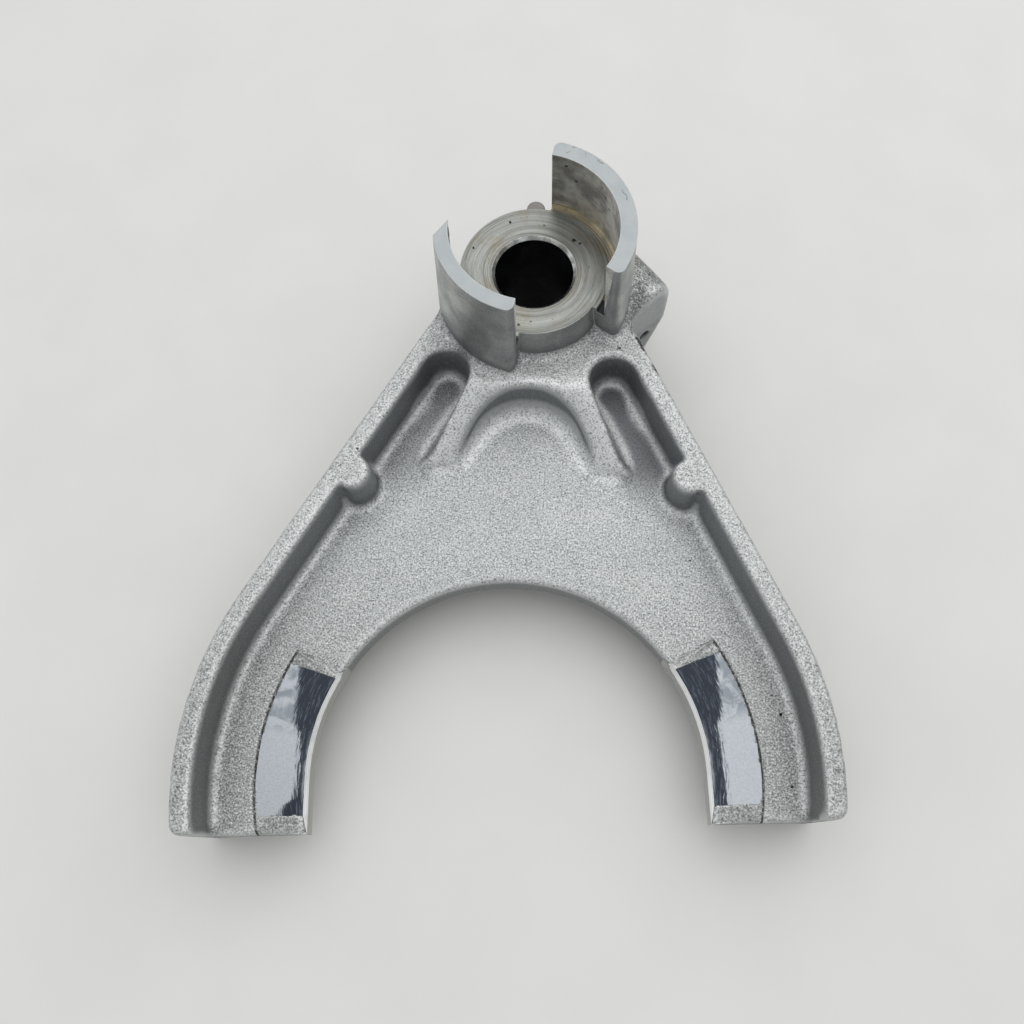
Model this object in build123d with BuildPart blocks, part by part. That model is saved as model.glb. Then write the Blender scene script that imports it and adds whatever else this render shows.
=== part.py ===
# Shift fork: one light-alloy casting, machined at the rail bore, the hub face and the two pads.
# Millimetres, +Z up. The rail bore stands on the Z axis with its lower end at the origin,
# and the two legs point towards -Y. The fork lies on the lower edges of its rails.
from build123d import *
import os
from math import cos, degrees, radians, sin, tan

os.makedirs("parts", exist_ok=True)

# Rail bore and the hub round it
bore_radius = 10.0
bore_chamfer = 0.8
hub_radius = 19.2
face_radius = 19.0
face_rise = 9.3
front_relief = 1.1

# Two upright ears on the hub, sectors of a wall that leans in a little
ear_rise = 19.7
ear_foot_radius = 25.2
ear_top_radius = 20.4
right_ear_wall = 4.1
left_ear_wall = 3.6
right_ear_start = -32.0
right_ear_end = 80.5
left_ear_start = 178.5
left_ear_end = 261.0
ear_corner = 1.8
left_tip_bevel = 6.2
groove_radius = 21.4
groove_depth = 1.2

# Rails: the deep rim that runs from the hub down both legs
rail_height = 31.0
rail_width = 5.1
rail_angle = 27.5
rail_edge_chamfer = 0.7
leg_half_width = 75.3
throat_distance = 122.7

# Web between the rails
web_middle = 14.4
web_thickness = 8.2
draft_angle = 2.5
pocket_round = 1.8

# Slots beside the ribs, and the ribs that run out into the web round a scallop
slot_width = 12.3
slot_end_distance = 24.4
rib_foot_distance = 47.3
under_rib_distance = 33.0
scallop_radius = 16.7
scallop_angle = 31.1
scallop_draft = 4.0
scallop_round = 4.0

# Round bosses half sunk in the rails, above the web only
rail_boss_radius = 4.6
rail_boss_inset = 0.6
right_boss_reach = 63.2
left_boss_reach = 66.5

# Throat and pads, square to an axis turned a little about the throat centre
pad_twist = 4.7
throat_radius = 46.8
throat_round = 1.2
pad_thickness = 7.0
pad_outer_radius = 59.3
pad_inner_top = 23.85
pad_outer_top = 27.8
pad_bottom = 7.8
pad_chamfer = 0.9
land_rise = 0.2
land_overrun = 5.0
tip_drop = 12.0
tip_fall = 0.9
tip_corner = 2.5

# Pin boss on the right of the hub: sideways and upright places are in the plane of its end
pin_boss_angle = -48.5
pin_boss_reach = 22.8
pin_boss_side = 22.4
pin_boss_upper = 29.5
pin_boss_lower = 20.5
pin_boss_radius = 6.0
pin_boss_root_side = 12.0
pin_boss_root_height = 26.5
pin_boss_foot_side = 17.0
pin_boss_foot_radius = 4.0
pin_boss_round = 2.0
pin_hole_side = 20.7
pin_hole_height = 16.2
pin_hole_radius = 1.5
pin_hole_depth = 8.0

# Small rib down the back of the hub
back_rib_radius = 2.4
back_rib_shift = -0.6
back_rib_reach = 23.6
back_rib_drop = 3.1

# Heights and places that follow from the sizes above
face_height = rail_height + face_rise
ear_height = face_height + ear_rise
web_top = web_middle + web_thickness / 2
web_bottom = web_middle - web_thickness / 2
pad_top = web_middle + pad_thickness / 2
pad_underside = web_middle - pad_thickness / 2
rail_cos = cos(radians(rail_angle))
rail_sin = sin(radians(rail_angle))
# The straight rail is tangent to the hub and to an arc whose widest point is level with the throat
leg_radius = (hub_radius - leg_half_width * rail_cos + throat_distance * rail_sin) / (1 - rail_cos)
leg_centre_x = leg_half_width - leg_radius
# Where the straight sides of the slots end, along the rails, and where the ribs start to slope
slot_reach = (slot_end_distance + (hub_radius - rail_width - slot_width / 2) * rail_sin) / rail_cos
rib_depth = hub_radius - rail_width - slot_width
rib_top_distance = slot_reach * rail_cos - rib_depth * rail_sin
# The ends of the ribs lean with the draft and meet the web in a round that stops at the rib foot
rib_end_distance = rib_foot_distance - pocket_round - (rail_height - web_top) * tan(radians(draft_angle))
# Stock left past the tips before they are cut off
leg_overrun = tip_drop + leg_half_width * tan(radians(pad_twist)) + tip_corner
# Overlap of a cutting tool past the face that it leaves
clear = 1.0
# Frame of the pads and tips, at the throat centre
pad_plane = Plane(
    origin=(0, -throat_distance, 0),
    x_dir=(cos(radians(pad_twist)), sin(radians(pad_twist)), 0),
    z_dir=(0, 0, 1),
)


# Closed outline of the fork in plan, moved inwards by inset and run past the tips by overrun
def draw_outline(inset, overrun):
    hub = hub_radius - inset
    leg = leg_radius - inset
    hub_x = hub * rail_cos
    hub_y = hub * rail_sin
    knee_x = leg_centre_x + leg * rail_cos
    knee_y = leg * rail_sin - throat_distance
    end_x = leg_centre_x + (leg**2 - overrun**2) ** 0.5
    end_y = -throat_distance - overrun
    side_x = leg_centre_x + leg
    with BuildLine() as rim_line:
        Line((hub_x, hub_y), (knee_x, knee_y))
        ThreePointArc((knee_x, knee_y), (side_x, -throat_distance), (end_x, end_y))
        Line((end_x, end_y), (-end_x, end_y))
        ThreePointArc((-end_x, end_y), (-side_x, -throat_distance), (-knee_x, knee_y))
        Line((-knee_x, knee_y), (-hub_x, hub_y))
        ThreePointArc((-hub_x, hub_y), (0, hub), (hub_x, hub_y))
    add(rim_line.line)
    make_face()


# Plan position at a distance along a rail, inset from the rail's outer line; side is 1 or -1
def along_rail(side, reach, inset):
    depth = hub_radius - inset
    return (side * (depth * rail_cos + reach * rail_sin), depth * rail_sin - reach * rail_cos)


# One side of the hollow's outline, from past the tip, round the slot and along the rib to its end
def draw_pocket_side(side, rib_end):
    leg = leg_radius - rail_width
    overrun = leg_overrun + clear
    end = (side * (leg_centre_x + (leg**2 - overrun**2) ** 0.5), -throat_distance - overrun)
    widest = (side * (leg_centre_x + leg), -throat_distance)
    knee = (side * (leg_centre_x + leg * rail_cos), leg * rail_sin - throat_distance)
    slot_outer = along_rail(side, slot_reach, rail_width)
    slot_head = along_rail(side, slot_reach - slot_width / 2, rail_width + slot_width / 2)
    slot_inner = along_rail(side, slot_reach, rail_width + slot_width)
    rib_corner = (side * (rib_depth + rib_end * rail_sin) / rail_cos, -rib_end)
    Line((0, end[1]), end)
    ThreePointArc(end, widest, knee)
    Line(knee, slot_outer)
    ThreePointArc(slot_outer, slot_head, slot_inner)
    Line(slot_inner, rib_corner)
    Line(rib_corner, (0, -rib_end))


# Hollow between the rails, with a round-ended slot along each rail; the ribs are left standing
def draw_pocket(rib_end):
    with BuildLine() as pocket_line:
        draw_pocket_side(-1, rib_end)
        draw_pocket_side(1, rib_end)
    add(pocket_line.line)
    make_face()


# Plane that holds the Z axis and looks along the turn, at an angle round the hub
def hub_section(angle):
    turn = radians(angle)
    return Plane(origin=(0, 0, 0), x_dir=(cos(turn), sin(turn), 0), z_dir=(sin(turn), -cos(turn), 0))


# Cutting tools: the hollow above the web and the one below it
with BuildPart() as top_hollow:
    with BuildSketch(Plane.XY.offset(rail_height)):
        draw_pocket(rib_end_distance)
        for side, reach in ((-1, left_boss_reach), (1, right_boss_reach)):
            with Locations(along_rail(side, reach, rail_width + rail_boss_inset)):
                Circle(rail_boss_radius, mode=Mode.SUBTRACT)
    extrude(amount=web_top - rail_height)
    draft(top_hollow.faces().filter_by(Plane.XY, reverse=True), Plane.XY.offset(rail_height), -draft_angle)
    fillet(top_hollow.faces().sort_by(Axis.Z)[0].edges(), pocket_round)

with BuildPart() as under_hollow:
    with BuildSketch():
        draw_pocket(under_rib_distance)
    extrude(amount=web_bottom)
    draft(under_hollow.faces().filter_by(Plane.XY, reverse=True), Plane.XY, draft_angle)
    fillet(under_hollow.faces().sort_by(Axis.Z)[-1].edges(), pocket_round)

# Cutting tool that slopes the ribs from the rail tops down to the web; its sides run along the slots
with BuildPart() as rib_slope:
    slope = (rail_height - web_top) / (rib_foot_distance - rib_top_distance)
    cut_end = rib_foot_distance - pocket_round / 2
    cut_depth = rib_depth + slot_width / 2
    top_x = (cut_depth + rib_top_distance * rail_sin) / rail_cos
    end_x = (cut_depth + cut_end * rail_sin) / rail_cos
    with BuildSketch(Plane.YZ):
        Polygon(
            (-rib_top_distance, rail_height),
            (-cut_end, rail_height - slope * (cut_end - rib_top_distance)),
            (-cut_end, rail_height + clear),
            (-rib_top_distance, rail_height + clear),
            align=None,
        )
    extrude(amount=end_x, both=True)
    with BuildSketch():
        Polygon(
            (-top_x, -rib_top_distance),
            (-end_x, -cut_end),
            (end_x, -cut_end),
            (top_x, -rib_top_distance),
            align=None,
        )
    extrude(amount=rail_height + clear, mode=Mode.INTERSECT)

# Cutting tool for the scallop between the ribs, round at its head and flared towards the web
with BuildPart() as scallop:
    side_x = scallop_radius * cos(radians(scallop_angle))
    side_y = scallop_radius * sin(radians(scallop_angle)) - scallop_radius - rib_top_distance
    flare_run = rib_foot_distance + scallop_round * 2 + side_y
    flare_x = side_x + flare_run * tan(radians(scallop_angle))
    flare_y = side_y - flare_run
    with BuildSketch(Plane.XY.offset(rail_height)):
        with BuildLine():
            Line((-flare_x, flare_y), (-side_x, side_y))
            ThreePointArc((-side_x, side_y), (0, -rib_top_distance), (side_x, side_y))
            Line((side_x, side_y), (flare_x, flare_y))
            Line((flare_x, flare_y), (-flare_x, flare_y))
        make_face()
    extrude(amount=web_top - rail_height)
    draft(scallop.faces().filter_by(Plane.XY, reverse=True), Plane.XY.offset(rail_height), -scallop_draft)
    fillet(scallop.faces().sort_by(Axis.Z)[0].edges(), scallop_round)

# One ear: a sector of its section turned about the bore, with its outer corners rounded
def make_ear(start, end, wall):
    with BuildPart() as ear:
        with BuildSketch(hub_section(start)):
            Polygon(
                (bore_radius + bore_chamfer + clear, 0),
                (ear_foot_radius, 0),
                (ear_foot_radius, rail_height),
                (ear_top_radius + wall, ear_height),
                (ear_top_radius, ear_height),
                (groove_radius, face_height),
                (groove_radius, face_height - groove_depth),
                (bore_radius + bore_chamfer + clear, face_height - groove_depth),
                align=None,
            )
        revolve(axis=Axis.Z, revolution_arc=end - start)
        for angle in (start, end):
            bend = hub_section(angle).from_local_coords((ear_foot_radius, rail_height, 0))
            fillet(ear.edges().filter_by(GeomType.LINE).sort_by_distance(bend)[:2], ear_corner)
    return ear.part


right_ear = make_ear(right_ear_start, right_ear_end, right_ear_wall)
left_ear = make_ear(left_ear_start, left_ear_end, left_ear_wall)
# Slanted plane across the far tip of the left ear, from its inner edge to the outside of its wall
tip_inner = hub_section(left_ear_start).from_local_coords((ear_top_radius, 0, 0))
tip_outer = hub_section(left_ear_start + degrees(left_tip_bevel / ear_foot_radius)).from_local_coords(
    (ear_foot_radius, 0, 0)
)
bevel_plane = Plane(origin=tip_inner, x_dir=tip_outer - tip_inner, z_dir=(0, 0, 1))

# Pin boss: a rounded lug that narrows to a foot at the base
boss_turn = radians(pin_boss_angle)
pin_plane = Plane(
    origin=(0, 0, 0),
    x_dir=(-sin(boss_turn), cos(boss_turn), 0),
    z_dir=(cos(boss_turn), sin(boss_turn), 0),
)
with BuildPart() as pin_boss:
    with BuildSketch(pin_plane):
        with BuildLine():
            CenterArc((pin_boss_side, pin_boss_upper), pin_boss_radius, 0, 360)
            CenterArc((pin_boss_side, pin_boss_lower), pin_boss_radius, 0, 360)
            CenterArc((pin_boss_root_side, pin_boss_root_height), pin_boss_foot_radius, 0, 360)
            CenterArc((pin_boss_foot_side, pin_boss_foot_radius), pin_boss_foot_radius, 0, 360)
        make_hull()
    extrude(amount=pin_boss_reach)
    far_end = pin_boss.faces().sort_by(Axis(pin_plane.origin, pin_plane.z_dir))[-1]
    fillet(far_end.edges(), pin_boss_round)


# Plan shape of the throat: a round head that runs on straight past the tips
def draw_throat():
    Circle(throat_radius)
    with Locations((0, -throat_radius)):
        Rectangle(throat_radius * 2, throat_radius * 2)


# Cutting tools: the throat, and the chamfers that run beside the pads on both faces
with BuildPart() as throat:
    with BuildSketch(pad_plane):
        draw_throat()
    extrude(amount=rail_height)

with BuildPart() as throat_chamfers:
    for edge_height, far_height in (
        (pad_top - pad_chamfer, web_top + clear),
        (pad_underside + pad_chamfer, web_bottom - clear),
    ):
        with BuildSketch(pad_plane.offset(edge_height)):
            draw_throat()
            with Locations((0, pad_inner_top + throat_radius)):
                Rectangle(throat_radius * 4, throat_radius * 2, mode=Mode.SUBTRACT)
        extrude(amount=far_height - edge_height, taper=-45)


# Plan shape of the pads, or of the cast land round them, kept inside the outer radius
def draw_pads(rise, drop):
    Circle(pad_outer_radius)
    half = throat_radius * 2
    slope = (pad_outer_top - pad_inner_top) / (pad_outer_radius - throat_radius)
    ridge = pad_inner_top + rise - throat_radius * slope
    edge = ridge + half * slope
    Polygon(
        (0, ridge),
        (half, edge),
        (half, half * 2),
        (-half, half * 2),
        (-half, edge),
        align=None,
        mode=Mode.SUBTRACT,
    )
    with Locations((0, -drop - half)):
        Rectangle(half * 2, half * 2, mode=Mode.SUBTRACT)


# Cutting tool that lets the land fall from the lower edge of each pad to the tip
with BuildPart() as tip_slope:
    with BuildSketch(pad_plane):
        draw_pads(land_overrun, tip_drop * 2)
    extrude(amount=web_top + clear)
    with BuildSketch(Plane(origin=pad_plane.origin, x_dir=pad_plane.y_dir, z_dir=pad_plane.x_dir)):
        land = pad_top + land_rise
        fall_slope = tip_fall / (tip_drop - pad_bottom)
        Polygon(
            (pad_outer_radius, 0),
            (pad_outer_radius, land),
            (-pad_bottom, land),
            (-pad_outer_radius, land - fall_slope * (pad_outer_radius - pad_bottom)),
            (-pad_outer_radius, 0),
            align=None,
        )
    extrude(amount=pad_outer_radius, both=True, mode=Mode.SUBTRACT)

with BuildPart() as shift_fork:
    # Plan shape with the tips cut off square to the pads and their outer corners rounded
    with BuildSketch() as plan:
        draw_outline(0, leg_overrun)
        with Locations(Location((0, -throat_distance, 0), (0, 0, pad_twist))):
            with Locations((0, -tip_drop - throat_distance)):
                Rectangle(leg_half_width * 4, throat_distance * 2, mode=Mode.SUBTRACT)
        tips = plan.vertices().sort_by(Axis.X)
        fillet([tips[0], tips[-1]], tip_corner)
    extrude(amount=rail_height)
    # Hollowed on both sides, with the edges of the rim broken
    add(top_hollow.part, mode=Mode.SUBTRACT)
    add(under_hollow.part, mode=Mode.SUBTRACT)
    for height in (0, rail_height):
        chamfer(shift_fork.edges().filter_by_position(Axis.Z, height, height), rail_edge_chamfer)
    add(rib_slope.part, mode=Mode.SUBTRACT)
    add(scallop.part, mode=Mode.SUBTRACT)
    add(throat.part, mode=Mode.SUBTRACT)
    for height in (web_bottom, web_top):
        arcs = shift_fork.edges().filter_by(GeomType.CIRCLE).filter_by_position(Axis.Z, height, height)
        fillet(arcs.sort_by_distance(pad_plane.origin)[0], throat_round)
    add(throat_chamfers.part, mode=Mode.SUBTRACT)

    # Cast land with its fall to the tips, then the pads milled a little lower, on both faces
    add(tip_slope.part, mode=Mode.SUBTRACT)
    with BuildSketch(pad_plane.offset(pad_top)):
        draw_pads(0, pad_bottom)
    extrude(amount=rail_height, mode=Mode.SUBTRACT)
    with BuildSketch(pad_plane.offset(pad_underside)):
        draw_pads(0, pad_bottom)
    extrude(amount=-pad_underside, mode=Mode.SUBTRACT)

    # Hub, ears, pin boss and back rib
    with BuildSketch(Plane.XZ):
        Polygon(
            (0, 0),
            (hub_radius, 0),
            (hub_radius, rail_height),
            (face_radius, face_height),
            (0, face_height),
            align=None,
        )
    revolve(axis=Axis.Z)
    add(right_ear)
    add(left_ear)
    with BuildSketch(bevel_plane):
        Rectangle(ear_foot_radius, left_tip_bevel * 2, align=(Align.MIN, Align.MAX))
    extrude(amount=ear_height, mode=Mode.SUBTRACT)
    add(pin_boss.part)
    with BuildSketch():
        with Locations((back_rib_shift, back_rib_reach - back_rib_radius)):
            Circle(back_rib_radius)
        with Locations((back_rib_shift, (back_rib_reach - back_rib_radius) / 2)):
            Rectangle(back_rib_radius * 2, back_rib_reach - back_rib_radius)
    extrude(amount=face_height - back_rib_drop)

    # Front of the hub between the ears, cut back towards the turned face
    with BuildSketch(hub_section(left_ear_end)):
        Polygon(
            (hub_radius, rail_height),
            (hub_radius + clear, rail_height),
            (hub_radius + clear, face_height + clear),
            (face_radius - front_relief, face_height + clear),
            (face_radius - front_relief, face_height),
            align=None,
        )
    revolve(axis=Axis.Z, revolution_arc=right_ear_start + 360 - left_ear_end, mode=Mode.SUBTRACT)

    # Rail bore with the chamfer at its turned face, and the pin hole
    with BuildSketch(Plane.XZ):
        Polygon(
            (0, -clear),
            (bore_radius, -clear),
            (bore_radius, face_height - bore_chamfer),
            (bore_radius + bore_chamfer, face_height),
            (bore_radius + bore_chamfer, face_height + clear),
            (0, face_height + clear),
            align=None,
        )
    revolve(axis=Axis.Z, mode=Mode.SUBTRACT)
    with BuildSketch(pin_plane.offset(pin_boss_reach)):
        with Locations((pin_hole_side, pin_hole_height)):
            Circle(pin_hole_radius)
    extrude(amount=-pin_hole_depth, mode=Mode.SUBTRACT)

shift_fork.part.label = "shift_fork"
export_step(shift_fork.part, "parts/shift_fork.step")
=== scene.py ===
# Look of the shift fork: a light-alloy casting with turned and milled faces, lying on a pale floor.
import bmesh
import bpy
import numpy as np
from functools import partial
from math import atan2, cos, degrees, hypot, radians, sin
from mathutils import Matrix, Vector
from mathutils.bvhtree import BVHTree


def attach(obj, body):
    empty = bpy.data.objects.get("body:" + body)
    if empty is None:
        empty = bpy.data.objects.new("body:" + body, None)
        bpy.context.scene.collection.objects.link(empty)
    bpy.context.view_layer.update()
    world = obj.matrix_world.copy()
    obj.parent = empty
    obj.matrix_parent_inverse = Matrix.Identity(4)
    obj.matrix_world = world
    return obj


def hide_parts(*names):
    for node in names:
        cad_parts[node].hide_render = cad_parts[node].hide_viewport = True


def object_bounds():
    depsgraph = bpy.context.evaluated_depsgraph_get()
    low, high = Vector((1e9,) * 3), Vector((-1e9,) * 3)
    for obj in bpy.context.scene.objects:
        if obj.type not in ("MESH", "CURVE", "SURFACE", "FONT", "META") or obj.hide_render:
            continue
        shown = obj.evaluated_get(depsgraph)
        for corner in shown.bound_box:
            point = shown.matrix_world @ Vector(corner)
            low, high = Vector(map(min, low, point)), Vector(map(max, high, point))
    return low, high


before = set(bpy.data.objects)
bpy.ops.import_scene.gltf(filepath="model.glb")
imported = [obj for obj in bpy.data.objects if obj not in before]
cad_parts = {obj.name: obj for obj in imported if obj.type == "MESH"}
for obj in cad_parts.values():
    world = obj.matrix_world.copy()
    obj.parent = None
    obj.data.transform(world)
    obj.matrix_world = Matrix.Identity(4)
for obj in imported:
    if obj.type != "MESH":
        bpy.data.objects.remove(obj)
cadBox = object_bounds()
millimetre = 0.001
print("frame loaded")

# Sizes of the casting that the finishes follow, in millimetres, as the model has them
castingSizes = {
    "boreRadius": 10.0,
    "faceHeight": 40.3,
    "earInner": 20.3,
    "earOuter": 25.6,
    "grooveRadius": 21.5,
    "grooveFloor": 39.1,
    "earHeight": 60.0,
    "railHeight": 31.0,
    "throatDistance": 122.7,
    "throatTurn": 4.7,
    "throatRadius": 46.8,
    "padOuterRadius": 59.3,
    "padTop": 17.9,
    "padUnderside": 10.9,
    "padUpperEnd": 25.5,
    "padLowerEnd": 7.8,
}


# sRGB hex to the linear colour that a node wants
def hexColour(text):
    parts = [int(text[i:i + 2], 16) / 255 for i in (1, 3, 5)]
    return tuple(p / 12.92 if p <= 0.04045 else ((p + 0.055) / 1.055) ** 2.4 for p in parts) + (1.0,)


# Sets a node's inputs: each takes a value, a socket, or another node for its first live output
def setInputs(node, inputs):
    for key, value in inputs.items():
        if isinstance(value, bpy.types.Node):
            value = next(socket for socket in value.outputs if socket.enabled)
        if isinstance(value, bpy.types.NodeSocket):
            node.id_data.links.new(value, node.inputs[key])
        else:
            node.inputs[key].default_value = value


# Adds a node with its settings and links; a kind without a prefix is a shader node
def addNode(tree, kind, inputs=None, **settings):
    node = tree.nodes.new(kind if "Node" in kind else "ShaderNode" + kind)
    for name, value in settings.items():
        setattr(node, name, value)
    setInputs(node, inputs or {})
    return node


# Setting of a range that eases in and out
smooth = {"interpolation_type": "SMOOTHSTEP"}


# Lays tones over a colour in turn: each has its hex and the shares whose product says how much of it shows
def layTones(add, colour, layers):
    for tone, share, *others in layers:
        for other in others:
            share = add("Math", {0: share, 1: other}, operation="MULTIPLY")
        colour = add("Mix", {0: share, 6: colour, 7: hexColour(tone)}, data_type="RGBA")
    return colour


# A new material, what adds a node to its tree, its shader, and the object's own coordinates
def newFinish(name):
    finish = bpy.data.materials.new(name)
    finish.use_nodes = True
    finish.node_tree.nodes.clear()
    add = partial(addNode, finish.node_tree)
    shader = add("BsdfPrincipled")
    add("OutputMaterial", {"Surface": shader})
    where = add("TexCoord").outputs["Object"]
    return finish, add, shader, where


# Place round an upright axis: distance from it in millimetres, the two places across it in metres,
# and height in millimetres
def polar(add, where, centre=(0, 0, 0), turn=0.0):
    moved = add("Mapping", {
        "Vector": where, "Location": Vector(centre) * millimetre, "Rotation": (0, 0, radians(turn)),
    }, vector_type="TEXTURE")
    parts = add("SeparateXYZ", {0: moved})
    x, y, z = parts.outputs
    flat = add("CombineXYZ", {0: x, 1: y})
    reach = add("VectorMath", {0: flat}, operation="LENGTH").outputs["Value"]
    reach = add("Math", {0: reach, 1: 1 / millimetre}, operation="MULTIPLY")
    return reach, x, y, add("Math", {0: z, 1: 1 / millimetre}, operation="MULTIPLY")


# Share of a surface within a few small marks, each with a ragged edge
def marks(add, where, places, ragged=0.35):
    warp = add("TexNoise", {"Vector": where, "Scale": 1 / (1.1 * millimetre), "Detail": 2.0})
    shift = add("VectorMath", {0: warp.outputs["Color"], 1: (0.5, 0.5, 0.5)}, operation="SUBTRACT")
    shift = add("VectorMath", {0: shift, "Scale": 2 * ragged * millimetre}, operation="SCALE")
    moved = add("VectorMath", {0: where, 1: shift}, operation="ADD")
    total = 0.0
    for x, y, z, size, strength in places:
        gap = add("VectorMath", {
            0: moved, 1: (x * millimetre, y * millimetre, z * millimetre),
        }, operation="DISTANCE").outputs["Value"]
        spot = add("MapRange", {
            0: gap, 1: size * millimetre, 2: size * 0.55 * millimetre, 4: strength,
        }, **smooth)
        total = add("Math", {0: total, 1: spot}, operation="MAXIMUM")
    return total


# Share of a surface along a thin ragged line through points given in millimetres
def seams(add, where, lines):
    warp = add("TexNoise", {"Vector": where, "Scale": 1 / (2.0 * millimetre), "Detail": 3.0})
    shift = add("VectorMath", {0: warp.outputs["Color"], 1: (0.5, 0.5, 0.5)}, operation="SUBTRACT")
    shift = add("VectorMath", {0: shift, "Scale": 1.6 * millimetre}, operation="SCALE")
    moved = add("VectorMath", {0: where, 1: shift}, operation="ADD")
    total = 0.0
    for start, end, width, strength in lines:
        start, end = Vector(start) * millimetre, Vector(end) * millimetre
        run = end - start
        local = add("VectorMath", {0: moved, 1: start}, operation="SUBTRACT")
        along = add("VectorMath", {0: local, 1: run / run.length_squared}, operation="DOT_PRODUCT")
        along = add("Math", {
            0: add("Math", {0: along.outputs["Value"], 1: 0.0}, operation="MAXIMUM"), 1: 1.0,
        }, operation="MINIMUM")
        foot = add("VectorMath", {0: run, "Scale": along}, operation="SCALE")
        gap = add("VectorMath", {0: local, 1: foot}, operation="DISTANCE").outputs["Value"]
        line = add("MapRange", {
            0: gap, 1: width * millimetre, 2: width * 0.4 * millimetre, 4: strength,
        }, **smooth)
        total = add("Math", {0: total, 1: line}, operation="MAXIMUM")
    return total


# Normal with its edges rounded off, and the share of each place that is such an edge
def roundedEdge(add, radius, samples=6):
    soft = add("Bevel", {"Radius": radius * millimetre}, samples=samples)
    true = add("NewGeometry").outputs["True Normal"]
    match = add("VectorMath", {0: soft, 1: true}, operation="DOT_PRODUCT").outputs["Value"]
    return soft, add("MapRange", {0: match, 1: 0.985, 2: 0.85}, **smooth)


# Shot-blasted aluminium casting: a matt grey skin of fine dents, so it looks like sandpaper,
# with the grain's tops a little brighter and its pits dark, and painted shade in corners and on the slot
# floors.
castFinish = {
    "web": "#B2B4B3",
    "rim": "#B0B2B0",
    "wall": "#8C8F91",
    "leg": "#80807C",
    "backStain": "#6A645C",
    "pit": "#3B3C3C",
    "paleGrainAndHighlight": "#E2E3E2",
    "paintedShade": "#54565A",
    "grain": 0.45,          # mm, width of a dent of the blasting
    "coarseGrain": 0.95,    # mm
    "grainDepth": 0.10,     # mm
    "roughness": 0.52,
}
# Pits: place, size and strength. Flaws: start and end of a crack in the skin, its width and its strength.
castPits = [
    (30.6, -3.4, 16.2, 1.7, 1.0),    # mouth of the pin hole
    (-41.6, -47.0, 31.0, 0.45, 0.9), (-64.2, -79.0, 31.0, 0.5, 0.9), (42.5, -68.0, 18.6, 0.4, 0.8),
    (64.0, -105.0, 18.5, 0.5, 1.0), (62.0, -100.5, 18.5, 0.35, 0.8), (66.0, -121.5, 18.5, 0.4, 0.9),
]
castFlaws = [
    ((27.3, -12.5, 30.6), (29.0, -15.9, 30.6), 0.7, 0.9),
    ((29.3, -16.8, 30.0), (32.9, -23.5, 30.0), 0.8, 0.9),
    ((20.8, -13.1, 31.0), (22.9, -15.7, 31.0), 0.3, 0.8),
]


# What the tones of the cast skin follow: place in millimetres, slope, and the blasted dents at two sizes
def castGuides(add, where):
    slope = add("SeparateXYZ", {0: add("TexCoord").outputs["Normal"]}).outputs[2]
    across, down, height = [
        add("Math", {0: part, 1: 1 / millimetre}, operation="MULTIPLY")
        for part in add("SeparateXYZ", {0: where}).outputs
    ]
    return {
        "across": across,
        "down": down,
        "height": height,
        "slope": slope,
        "aside": add("Math", {0: across}, operation="ABSOLUTE"),
        "rim": add("MapRange", {0: height, 1: 22.0, 2: 29.5}, **smooth),
        "upright": add("MapRange", {
            0: add("Math", {0: slope}, operation="ABSOLUTE"), 1: 0.75, 2: 0.25,
        }, **smooth),
        "fine": add("TexNoise", {
            "Vector": where, "Scale": 1 / (castFinish["grain"] * millimetre), "Detail": 4.0, "Roughness": 0.75,
        }),
        "coarse": add("TexNoise", {
            "Vector": where, "Scale": 1 / (castFinish["coarseGrain"] * millimetre), "Roughness": 0.55,
        }),
    }


# Tones by place: rims and walls, the walls darker partly as smoother skin and partly as painted shade,
# the duller legs, the stained back of the hub, and the boss, which is duller on top and paler at its end
def layPlaceTones(add, colour, where, on):
    back = add("Math", {
        0: add("MapRange", {0: on["down"], 1: 19.0, 2: 21.0, 4: 0.8}, **smooth),
        1: add("MapRange", {0: on["aside"], 1: 4.4, 2: 3.6}, **smooth),
    }, operation="MULTIPLY")
    boss = add("Math", {
        0: add("MapRange", {0: on["across"], 1: 24.0, 2: 26.5}, **smooth),
        1: add("MapRange", {0: on["down"], 1: -13.0, 2: -9.0}, **smooth),
    }, operation="MULTIPLY")
    top = add("Math", {0: on["upright"], 1: -0.9, 2: 0.9}, operation="MULTIPLY_ADD")
    waves = add("TexNoise", {"Vector": where, "Scale": 1 / (9.0 * millimetre), "Detail": 3.0})
    return layTones(add, colour, [
        (castFinish["rim"], on["rim"]),
        # Upright faces darker: partly their smoother cast skin, partly painted shade
        (castFinish["wall"], on["upright"]),
        (castFinish["leg"], add("MapRange", {0: on["down"], 1: -60.0, 2: -118.0, 4: 0.5}, **smooth)),
        (castFinish["backStain"], back),
        (castFinish["leg"], boss, top),
        (castFinish["paleGrainAndHighlight"], boss, on["upright"], 0.35),
        (castFinish["wall"], add("MapRange", {0: waves, 1: 0.3, 2: 0.7, 4: 0.25}, **smooth)),
    ])


# Share of painted shade on the floors of the slots beside the ribs, more so on the right
def slotFloorShade(add, on):
    beside = add("Math", {
        0: on["aside"], 1: add("Math", {0: on["down"], 1: 0.5, 2: 14.0}, operation="MULTIPLY_ADD"),
    }, operation="ADD")
    slotShade = add("MapRange", {0: beside, 1: 13.0, 2: 16.0}, **smooth)
    for share in (
        add("MapRange", {0: on["down"], 1: -58.0, 2: -42.0}, **smooth),
        add("MapRange", {0: on["height"], 1: 22.0, 2: 19.5}, **smooth),
        add("MapRange", {0: on["across"], 1: -5.0, 2: 5.0, 3: 0.4, 4: 0.7}, **smooth),
        add("MapRange", {0: on["slope"], 1: -0.2, 2: 0.3}, **smooth),
    ):
        slotShade = add("Math", {0: slotShade, 1: share}, operation="MULTIPLY")
    return slotShade
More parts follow.
